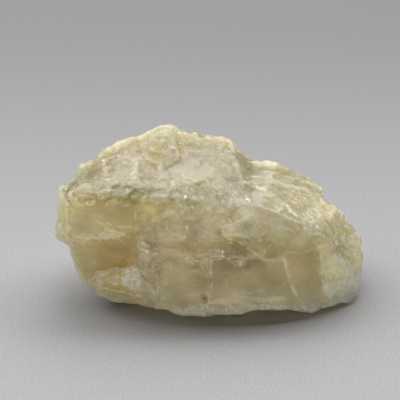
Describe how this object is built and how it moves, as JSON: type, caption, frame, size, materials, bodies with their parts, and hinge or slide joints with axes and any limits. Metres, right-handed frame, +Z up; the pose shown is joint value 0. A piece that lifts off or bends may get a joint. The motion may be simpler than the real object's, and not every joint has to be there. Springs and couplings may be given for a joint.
{
  "type": "petalite specimen",
  "caption": "Rough hand specimen of translucent straw-coloured petalite with broken cleavage faces, lying on a flat face.",
  "frame": {"origin": "middle of the bounding box in plan, on the plane the stone rests on", "axes": "+X along the stone's longest extent towards its low wedge end, -Y out of the upright front face, +Z up from the resting face"},
  "size_m": [0.06, 0.038, 0.0307],
  "materials": {
    "petalite": "translucent, waxy to vitreous, straw-coloured to milky, with whitish crushed edges and golden-brown stain"
  },
  "bodies": {
    "root": {"petalite_stone": "petalite"}
  },
  "joints": []
}
